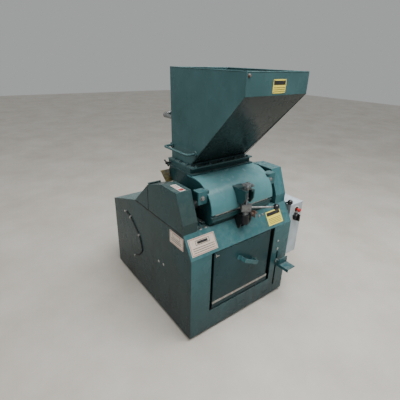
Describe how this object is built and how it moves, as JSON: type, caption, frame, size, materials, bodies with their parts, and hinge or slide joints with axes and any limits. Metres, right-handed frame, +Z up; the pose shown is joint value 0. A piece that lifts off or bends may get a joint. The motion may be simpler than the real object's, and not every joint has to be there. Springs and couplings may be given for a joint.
{
  "type": "beside-the-press granulator",
  "caption": "Hopper-fed cutting mill on a sheet steel base, with belt drive, tilting cutting head, screen, granulate bin and foot pedal.",
  "frame": {"origin": "on the floor at the centre of the four floor anchor holes", "axes": "+X to the right along the rotor, +Y to the back, +Z up"},
  "size_m": [1.012, 1.13, 1.534],
  "materials": {
    "teal_enamel": "gloss enamel",
    "light_teal_enamel": "gloss enamel",
    "dark_teal_enamel": "gloss enamel",
    "black_enamel": "semi-gloss",
    "grey_powder_coat": "powder coat",
    "bright_steel": "turned",
    "worn_steel": "rusted",
    "cast_iron": "as cast, painted",
    "black_plastic": "moulded gloss",
    "red_plastic": "moulded gloss",
    "rubber": "matt",
    "beige_plate": "printed",
    "yellow_plate": "printed"
  },
  "bodies": {
    "base": {"floor_pads": "rubber", "base_frame": "dark_teal_enamel", "left_panel": "teal_enamel", "right_panel": "teal_enamel", "front_panel": "teal_enamel", "deck_plate": "teal_enamel", "rear_cover": "teal_enamel", "bin_bay": "dark_teal_enamel", "lower_housing": "teal_enamel", "bed_knives": "bright_steel", "pillow_blocks": "cast_iron", "rotor_bearings": "bright_steel", "belt_guard_rear": "teal_enamel", "flywheel_guard": "teal_enamel", "housing_hinges": "cast_iron", "motor": "cast_iron", "drive_belts": "rubber", "clamp_socket": "black_enamel", "nameplate": "beige_plate", "side_badge": "beige_plate", "warning_plate": "yellow_plate", "panel_screws": "bright_steel", "cable": "rubber", "cable_clips": "bright_steel", "control_box": "grey_powder_coat", "guard_hinge_pin": "bright_steel"},
    "belt_guard": {"belt_guard_front": "teal_enamel"},
    "rotor": {"rotor_shaft": "bright_steel", "rotor_core": "cast_iron", "rotor_knives": "bright_steel", "rotor_pulley": "cast_iron", "flywheel": "cast_iron"},
    "motor_rotor": {"motor_shaft": "bright_steel", "motor_pulley": "cast_iron"},
    "cradle": {"screen_cradle": "cast_iron", "screen": "bright_steel"},
    "head": {"upper_housing": "teal_enamel", "front_cover": "light_teal_enamel", "chamber_liner": "cast_iron", "throat_frame": "dark_teal_enamel", "hopper": "dark_teal_enamel", "clamp_bracket": "dark_teal_enamel", "grab_handle": "dark_teal_enamel", "rear_handle": "dark_teal_enamel", "hopper_plate": "yellow_plate"},
    "clamp_spindle": {"clamp_screw": "bright_steel", "star_knob": "bright_steel"},
    "clamp_lever": {"lever_nut": "bright_steel", "nut_knob": "black_plastic"},
    "left_flange_screw": {"flange_screw_left": "cast_iron"},
    "right_flange_screw": {"flange_screw_right": "cast_iron"},
    "shelf": {"bin_shelf": "dark_teal_enamel"},
    "bin": {"granulate_bin": "dark_teal_enamel", "bin_handle": "dark_teal_enamel"},
    "pedal": {"foot_pedal": "teal_enamel"},
    "release_lever": {"side_lever": "black_plastic"},
    "latch": {"latch_pin": "worn_steel"},
    "door": {"box_door": "grey_powder_coat"},
    "stop": {"stop_button": "red_plastic"},
    "switch": {"rotary_switch": "black_plastic"}
  },
  "joints": [
    {"name": "head_tilt", "type": "hinge", "parent": "base", "child": "head", "pos_m": [0, -0.085, 0.77], "axis": [-1, 0, 0], "range_deg": [0, 75]},
    {"name": "spindle_turn", "type": "hinge", "parent": "head", "child": "clamp_spindle", "pos_m": [-0.024, -0.497, 0.9], "axis": [0, 0, 1], "continuous": true},
    {"name": "clamp_lever_turn", "type": "hinge", "parent": "head", "child": "clamp_lever", "pos_m": [-0.024, -0.497, 0.801], "axis": [0, 0, 1], "range_deg": [-110, 25]},
    {"name": "left_screw_turn", "type": "hinge", "parent": "head", "child": "left_flange_screw", "pos_m": [-0.25, -0.029, 0.985], "axis": [1, 0, 0], "continuous": true},
    {"name": "right_screw_turn", "type": "hinge", "parent": "head", "child": "right_flange_screw", "pos_m": [0.25, -0.029, 0.985], "axis": [1, 0, 0], "continuous": true},
    {"name": "guard_swing", "type": "hinge", "parent": "base", "child": "belt_guard", "pos_m": [-0.372, -0.05, 0.885], "axis": [-1, 0, 0], "range_deg": [0, 95]},
    {"name": "rotor_spin", "type": "hinge", "parent": "base", "child": "rotor", "pos_m": [0, -0.29, 0.79], "axis": [1, 0, 0], "continuous": true},
    {"name": "motor_spin", "type": "hinge", "parent": "base", "child": "motor_rotor", "pos_m": [-0.372, 0.24, 0.33], "axis": [1, 0, 0], "continuous": true},
    {"name": "cradle_swing", "type": "hinge", "parent": "base", "child": "cradle", "pos_m": [0, -0.138, 0.69], "axis": [1, 0, 0], "range_deg": [0, 25]},
    {"name": "shelf_tilt", "type": "hinge", "parent": "base", "child": "shelf", "pos_m": [0, 0.08, 0.211], "axis": [1, 0, 0], "range_deg": [0, 4], "stiffness_Nm_per_rad": 500, "springref_deg": -28.65},
    {"name": "bin_slide", "type": "slide", "parent": "shelf", "child": "bin", "axis": [0, -1, 0], "range_m": [0, 0.4]},
    {"name": "pedal_press", "type": "hinge", "parent": "base", "child": "pedal", "pos_m": [0, -0.21, 0.15], "axis": [1, 0, 0], "range_deg": [0, 14]},
    {"name": "release_lever_swing", "type": "hinge", "parent": "base", "child": "release_lever", "pos_m": [0.421, -0.438, 0.6], "axis": [1, 0, 0], "range_deg": [0, 60]},
    {"name": "latch_slide", "type": "slide", "parent": "base", "child": "latch", "axis": [1, 0, 0], "range_m": [0, 0.02]},
    {"name": "door_swing", "type": "hinge", "parent": "base", "child": "door", "pos_m": [0.566, -0.068, 0.476], "axis": [0, 0, 1], "range_deg": [0, 110]},
    {"name": "stop_press", "type": "slide", "parent": "base", "child": "stop", "axis": [0, 1, 0], "range_m": [0, 0.006], "stiffness_N_per_m": 600},
    {"name": "switch_turn", "type": "hinge", "parent": "base", "child": "switch", "pos_m": [0.514, -0.49, 0.577], "axis": [0, 1, 0], "range_deg": [0, 90]}
  ],
  "couplings": [
    {"joint": "motor_spin", "follows": "rotor_spin", "ratio": 1.8276},
    {"joint": "pedal_press", "follows": "shelf_tilt", "ratio": 3.5}
  ]
}
